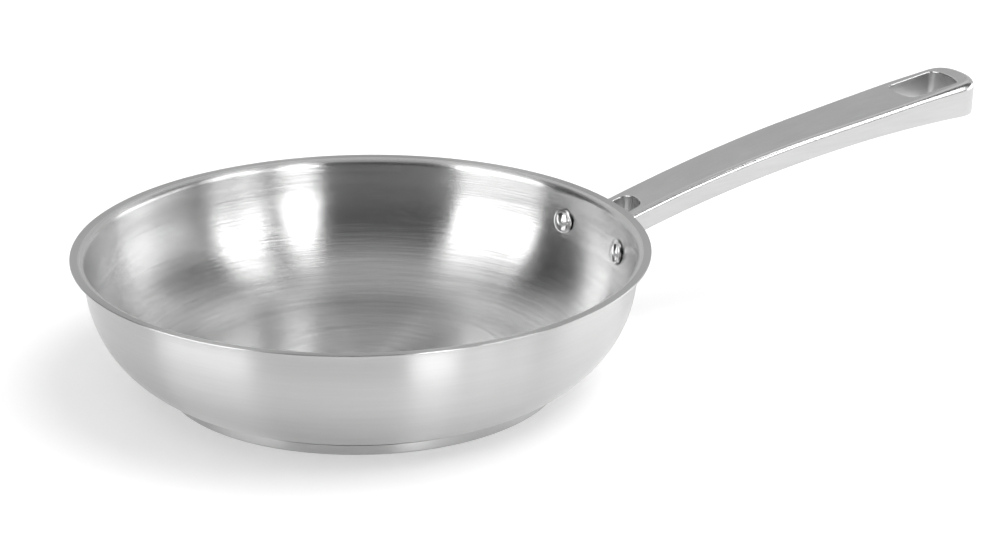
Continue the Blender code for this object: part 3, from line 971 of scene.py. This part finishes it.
def vent_cutter(shape):
    """The slot between the legs, open towards the pan."""
    end = shape.bowl.rim_radius + shape.handle.vent_end - VENT_ROUND
    half_width = 0.5 * shape.handle.vent_width
    outline = [(shape.start - OVERSHOOT, half_width), (end, half_width)]
    outline += rounded_end(end, VENT_ROUND, half_width, steps=16)
    return through_cutter("vent", shape, outline)


def hole_cutter(shape):
    """The hanging hole, with the same full end on both sides."""
    half_width = 0.5 * shape.handle.hole_width
    end = shape.hole_end
    start = end - shape.handle.hole_length
    far_end = rounded_end(end - HOLE_ROUND, HOLE_ROUND, half_width, steps=14)
    outline = [(start + end - x, y) for x, y in reversed(far_end)]
    outline += [(start + HOLE_ROUND, half_width), (end - HOLE_ROUND, half_width)]
    outline += far_end
    return through_cutter("hole", shape, outline)


def channel_cutter(shape):
    """The hollow under the grip, which follows its sides and its top."""
    start = shape.bowl.rim_radius + CHANNEL_START
    end = shape.hole_end - shape.handle.hole_length - HOLE_MARGIN
    bend = CHANNEL_ROUND

    def half_width(x):
        return shape.half_width(x) - CHANNEL_WALL

    near_end = rounded_end(0.0, bend, half_width(start + bend), steps=12)
    outline = [(start + bend - x, y) for x, y in reversed(near_end)]
    steps = 30
    for i in range(steps + 1):
        x = start + bend + (end - start - 2.0 * bend) * i / steps
        outline.append((x, half_width(x)))
    outline += rounded_end(end - bend, bend, half_width(end - bend), steps=12)
    levels = [(constant(0.0), lambda x: shape.bottom(x) - OVERSHOOT)]
    levels += edge_levels(constant(CHANNEL_EDGE), lambda x: shape.top(x) - CHANNEL_TOP, steps=6, upper=True)
    return stacked_body("channel", outline, levels)


def handle_body(shape, rivet):
    """The cast handle: two legs run from a flange on the wall into one grip."""
    body = boolean(handle_blank(shape), vent_cutter(shape), "DIFFERENCE")
    body = boolean(body, flange_body(shape, rivet), "UNION")
    body = boolean(body, wall_plug(shape.bowl), "DIFFERENCE")
    body = boolean(body, hole_cutter(shape), "DIFFERENCE")
    body = boolean(body, channel_cutter(shape), "DIFFERENCE")
    body = drill_for_rivets(body, shape.bowl, shape.handle, rivet)
    clean_corners(body)
    return body


def polish_edges_with_painted_highlight(item, shape, slot):
    """Give the rounding around the handle's top the finish in another material slot, whose lighter colour
    paints part of its highlight.
    """
    for face in item.data.polygons:
        x, _, z = face.center
        rise = (shape.top(x + OVERSHOOT) - shape.top(x - OVERSHOOT)) / (2.0 * OVERSHOOT)
        upright = face.normal.dot(Vector((-rise, 0.0, 1.0)).normalized())
        on_edge = x > shape.face and z > shape.top(x) - shape.edge(x) - OVERSHOOT
        if on_edge and EDGE_UPRIGHT[0] < upright < EDGE_UPRIGHT[1]:
            face.material_index = slot


# Rivet shape

# Height and width of the step around the head's dome, the step's rounding, and the height of the tail's rim
HEAD_STEP = 0.0010
HEAD_EDGE = 0.0003
TAIL_RIM = 0.0006


def dome(radius, low, high, steps):
    """A shallow dome as (r, z) points from its rim to its crown."""
    return [
        (radius * math.cos(turn), low + (high - low) * math.sin(turn))
        for turn in quarter_turns(steps)
    ]


def rivet_profile(bowl, handle, rivet):
    """One rivet as (r, z) points along its axis, from the crown of its tail to the crown of its head."""
    seat = -GAP - rivet.head_radius ** 2 / (2.0 * wall_arc_radius(bowl))
    tail_seat = bowl.sheet + GAP + handle.flange + GAP
    step_top = seat - HEAD_STEP
    tail = dome(rivet.tail_radius, tail_seat + TAIL_RIM, tail_seat + rivet.tail_height, steps=10)
    profile = tail[::-1]
    profile += [(rivet.tail_radius, tail_seat), (rivet.shank_radius, tail_seat)]
    profile += [(rivet.shank_radius, seat), (rivet.head_radius, seat)]
    profile += rounded_corner(rivet.head_radius, step_top, HEAD_EDGE, steps=4)
    profile += dome(rivet.head_radius - HEAD_STEP, step_top, seat - rivet.head_height, steps=14)
    return profile


# Operators


class MakeShell(bpy.types.Operator):
    """Make the pressed bowl, brushed inside and satin outside"""

    bl_idname = "frying_pan.make_shell"
    bl_label = "Bowl"
    bl_options = {"REGISTER", "UNDO"}

    def execute(self, context):
        bowl = context.scene.pan_bowl
        finish = context.scene.pan_finish
        grain = find_tree("Turned Grain", turned_grain)
        inside = brushed_metal(
            "Brushed inside", finish.steel, finish.inside_roughness, grain,
            {"Line Width": 0.00065, "Lines per Turn": 3.5},
            tone=0.65, spread=0.06, stretch=1.0, relief=1.0, depth=finish.grain_depth)
        outside = turned_shaded_satin("Satin outside with painted shade", finish, stretch=1.0)
        path = wall_path(bowl)
        inner = offset_path(path, bowl.sheet)
        outer = offset_path(path, 0.0)
        profile = rings(*inner[0], count=8) + inner
        inside_points = len(profile) - 1
        profile += lip_edge(bowl, path) + outer[::-1]
        profile += rings(*outer[0], count=8)[::-1]
        shell = turned_piece("bowl", profile, bowl.segments, outside, inside, inside_points)
        shell = drill_for_rivets(shell, bowl, context.scene.pan_handle, context.scene.pan_rivet)
        sharpen(shell)
        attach(shell, "root")
        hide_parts("pan_shell")
        return {"FINISHED"}


class MakeBase(bpy.types.Operator):
    """Make the magnetic base cup, and give the core inside it its finish"""

    bl_idname = "frying_pan.make_base"
    bl_label = "Base"
    bl_options = {"REGISTER", "UNDO"}

    def execute(self, context):
        bowl = context.scene.pan_bowl
        finish = context.scene.pan_finish
        under_shell = offset_path(wall_path(bowl), -GAP)
        inner_radius = bowl.cap_radius - bowl.cap_sheet
        inner_corner = bowl.cap_corner - bowl.cap_sheet
        rim_height = height_at(under_shell, inner_radius)
        profile = rings(inner_radius - inner_corner, bowl.cap_sheet, count=6)
        profile += rounded_corner(inner_radius, bowl.cap_sheet, inner_corner, steps=4)[::-1]
        profile += [(inner_radius, rim_height), (bowl.cap_radius, rim_height)]
        profile += rounded_corner(bowl.cap_radius, 0.0, bowl.cap_corner, steps=6)
        profile += rings(bowl.cap_radius - bowl.cap_corner, 0.0, count=6)[::-1]
        satin = turned_shaded_satin("Satin base with painted shade", finish, stretch=0.9)
        cap = turned_piece("base_cup", profile, bowl.segments, satin)
        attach(cap, "root")
        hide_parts("base_cap")
        core = brushed_metal(
            "Cast aluminium", finish.aluminium, finish.aluminium_roughness,
            find_tree("Turned Grain", turned_grain), {"Line Width": 0.0010, "Lines per Turn": 10.0},
            tone=0.06, spread=0.08)
        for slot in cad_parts["heat_spreader"].material_slots:
            slot.material = core
        return {"FINISHED"}


class MakeHandle(bpy.types.Operator):
    """Make the cast handle with its flange, slot and hanging hole"""

    bl_idname = "frying_pan.make_handle"
    bl_label = "Handle"
    bl_options = {"REGISTER", "UNDO"}

    def execute(self, context):
        finish = context.scene.pan_finish
        shape = HandleShape(context.scene.pan_bowl, context.scene.pan_handle)
        grain = find_tree("Straight Grain", straight_grain)
        # The handle's colour is the satin steel's, darkened by painted shade.
        satin = brushed_metal(
            "Satin handle with painted shade", finish.satin, finish.handle_roughness, grain,
            {"Line Width": 0.0004, "Line Length": 0.010},
            tone=0.35, spread=0.08, relief=0.1, depth=finish.grain_depth)
        # The edge keeps the lighter steel colour beside the shade-darkened handle, which paints part of its
        # highlight band; its lower roughness is a smoother polish.
        edge = brushed_metal(
            "Polished edge with painted highlight", finish.steel, finish.edge_roughness, grain,
            {"Line Width": 0.0003, "Line Length": 0.012},
            tone=0.03, spread=0.04, relief=0.1, depth=finish.grain_depth)
        body = handle_body(shape, context.scene.pan_rivet)
        body.data.materials.clear()
        body.data.materials.append(satin)
        body.data.materials.append(edge)
        polish_edges_with_painted_highlight(body, shape, 1)
        sharpen(body)
        weighted = body.modifiers.new("Weighted Normal", "WEIGHTED_NORMAL")
        weighted.keep_sharp = True
        weighted.weight = 100
        body = settle(body, "cast_handle")
        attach(body, "root")
        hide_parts("handle")
        return {"FINISHED"}


class MakeRivets(bpy.types.Operator):
    """Make the two polished rivets that hold the handle"""

    bl_idname = "frying_pan.make_rivets"
    bl_label = "Rivets"
    bl_options = {"REGISTER", "UNDO"}

    def execute(self, context):
        bowl = context.scene.pan_bowl
        rivet = context.scene.pan_rivet
        finish = context.scene.pan_finish
        polish = brushed_metal(
            "Polished rivet", finish.polished, finish.polished_roughness,
            find_tree("Turned Grain", turned_grain), {"Line Width": 0.0020, "Lines per Turn": 6.0},
            tone=0.04, spread=0.05)
        radius, height, turn, slope = rivet_place(bowl, rivet)
        profile = rivet_profile(bowl, context.scene.pan_handle, rivet)
        pair = run_tree("rivets", profile, find_tree("Rivet Pair", rivet_tree), {
            "Segments": rivet.segments,
            "Seat Radius": radius,
            "Seat Height": height,
            "Seat Turn": turn,
            "Wall Slope": slope,
            "Material": polish,
        })
        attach(pair, "root")
        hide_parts("rivet_left", "rivet_right")
        return {"FINISHED"}


class MakeStudio(bpy.types.Operator):
    """Set the camera, the floor, the lamp and the cards that the metal reflects"""

    bl_idname = "frying_pan.make_studio"
    bl_label = "Studio"
    bl_options = {"REGISTER", "UNDO"}

    def execute(self, context):
        studio = context.scene.pan_studio
        context.scene.view_settings.view_transform = "Standard"
        self.make_camera(context)
        self.make_floor(studio)
        self.make_world(context, studio)
        for name, start, end, low, high, level in STUDIO_CARDS:
            make_card(name, studio.card_distance, (start, end), (low, high), level)
        self.make_lamp(studio)
        return {"FINISHED"}

    def make_camera(self, context):
        camera = add_object("camera", bpy.data.cameras.new("camera"))
        camera.data.lens = CAMERA_LENS
        camera.data.sensor_width = CAMERA_SENSOR
        camera.data.clip_start = CAMERA_NEAR
        forward = CAMERA_VIEW.normalized()
        rotation = Matrix((CAMERA_RIGHT, CAMERA_RIGHT.cross(forward), -forward)).transposed().to_4x4()
        camera.matrix_world = Matrix.Translation(CAMERA_PLACE) @ rotation
        context.scene.camera = camera

    def make_floor(self, studio):
        size = studio.floor_size
        corners = [(-size, -size, 0.0), (size, -size, 0.0), (size, size, 0.0), (-size, size, 0.0)]
        mesh = bpy.data.meshes.new("floor")
        mesh.from_pydata(corners, [], [(0, 1, 2, 3)])
        mesh.materials.append(floor_material(studio))
        add_object("floor", mesh)

    def make_world(self, context, studio):
        world = bpy.data.worlds.new("Studio")
        context.scene.world = world
        world.use_nodes = True
        tree = world.node_tree
        background = tree.nodes["Background"].inputs
        background["Color"].default_value = WHITE
        lift = product(tree, seen_directly(tree), 1.0 - studio.sky_level)
        connect(tree, background["Strength"], calculate(tree, "ADD", lift, studio.sky_level))

    def make_lamp(self, studio):
        light = bpy.data.lights.new("overhead", "AREA")
        light.shape = "DISK"
        light.size = studio.lamp_size
        light.energy = studio.lamp_power
        lamp = add_object("overhead", light)
        turn = math.degrees(studio.lamp_turn)
        place = card_point(studio.lamp_distance, turn, math.degrees(studio.lamp_height))
        lamp.matrix_world = Matrix.Translation(place) @ place.to_track_quat("Z", "Y").to_matrix().to_4x4()
        lamp.visible_glossy = False


def seen_directly(tree):
    """One for camera, glossy and transmission rays, and nothing for the rest."""
    rays = add_node(tree, "ShaderNodeLightPath").outputs
    seen = calculate(tree, "MAXIMUM", rays["Is Camera Ray"], rays["Is Glossy Ray"])
    return calculate(tree, "MAXIMUM", seen, rays["Is Transmission Ray"])


def card_point(distance, turn, height):
    """A point on the dome around the pan, from its turn and its height in degrees."""
    turn = math.radians(turn - VIEW_TURN)
    height = math.radians(height)
    return Vector((
        distance * math.cos(height) * math.cos(turn),
        distance * math.cos(height) * math.sin(turn),
        distance * math.sin(height),
    ))


def make_card(name, distance, turns, heights, level):
    """A bent card that only reflections show."""
    start, end = turns
    low, high = heights
    columns = max(1, math.ceil((end - start) / CARD_FACET))
    rows = max(1, math.ceil((high - low) / CARD_FACET))
    points = []
    for row in range(rows + 1):
        height = low + (high - low) * row / rows
        points += [
            card_point(distance, start + (end - start) * column / columns, height)
            for column in range(columns + 1)
        ]
    faces = []
    for row in range(rows):
        for column in range(columns):
            first = row * (columns + 1) + column
            faces.append((first, first + 1, first + columns + 2, first + columns + 1))
    mesh = bpy.data.meshes.new(name)
    mesh.from_pydata(points, [], faces)
    material, shader = glowing_material(name, BLACK)
    shader["Emission Strength"].default_value = level
    mesh.materials.append(material)
    card = add_object(name, mesh)
    card.visible_camera = False
    card.visible_diffuse = False
    card.visible_shadow = False
    card.visible_transmission = False


def glowing_material(name, colour):
    """A matt surface of one colour with a white glow, and the inputs of its shader."""
    material = bpy.data.materials.new(name)
    material.use_nodes = True
    shader = material.node_tree.nodes["Principled BSDF"].inputs
    shader["Base Color"].default_value = colour
    shader["Roughness"].default_value = 1.0
    shader["Specular IOR Level"].default_value = 0.0
    shader["Emission Color"].default_value = WHITE
    return material, shader


def floor_material(studio):
    """White where light reaches it, and darker under the pan."""
    material, shader = glowing_material("Floor", (*studio.floor, 1.0))
    tree = material.node_tree
    lift = product(tree, seen_directly(tree), studio.floor_lift)
    connect(tree, shader["Emission Strength"], lift)
    return material


class PanPanel(bpy.types.Panel):
    """Lists the pan's pieces and their settings"""

    bl_idname = "VIEW3D_PT_frying_pan"
    bl_label = "Frying Pan"
    bl_space_type = "VIEW_3D"
    bl_region_type = "UI"
    bl_category = "Frying Pan"

    def draw(self, context):
        layout = self.layout
        for operator in OPERATORS:
            layout.operator(operator.bl_idname)
        for name in SETTINGS:
            group = getattr(context.scene, name)
            box = layout.box()
            for label in group.__annotations__:
                box.prop(group, label)


SETTINGS = {
    "pan_bowl": BowlSettings,
    "pan_handle": HandleSettings,
    "pan_rivet": RivetSettings,
    "pan_finish": FinishSettings,
    "pan_studio": StudioSettings,
}
OPERATORS = (MakeShell, MakeBase, MakeHandle, MakeRivets, MakeStudio)


def register():
    for name, group in SETTINGS.items():
        bpy.utils.register_class(group)
        setattr(bpy.types.Scene, name, PointerProperty(type=group))
    for item in (*OPERATORS, PanPanel):
        bpy.utils.register_class(item)


def unregister():
    for item in (PanPanel, *reversed(OPERATORS)):
        bpy.utils.unregister_class(item)
    for name, group in reversed(SETTINGS.items()):
        delattr(bpy.types.Scene, name)
        bpy.utils.unregister_class(group)


def main():
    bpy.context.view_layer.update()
    register()
    bpy.ops.frying_pan.make_shell()
    bpy.ops.frying_pan.make_base()
    bpy.ops.frying_pan.make_handle()
    bpy.ops.frying_pan.make_rivets()
    bpy.ops.frying_pan.make_studio()


if __name__ == "__main__":
    main()
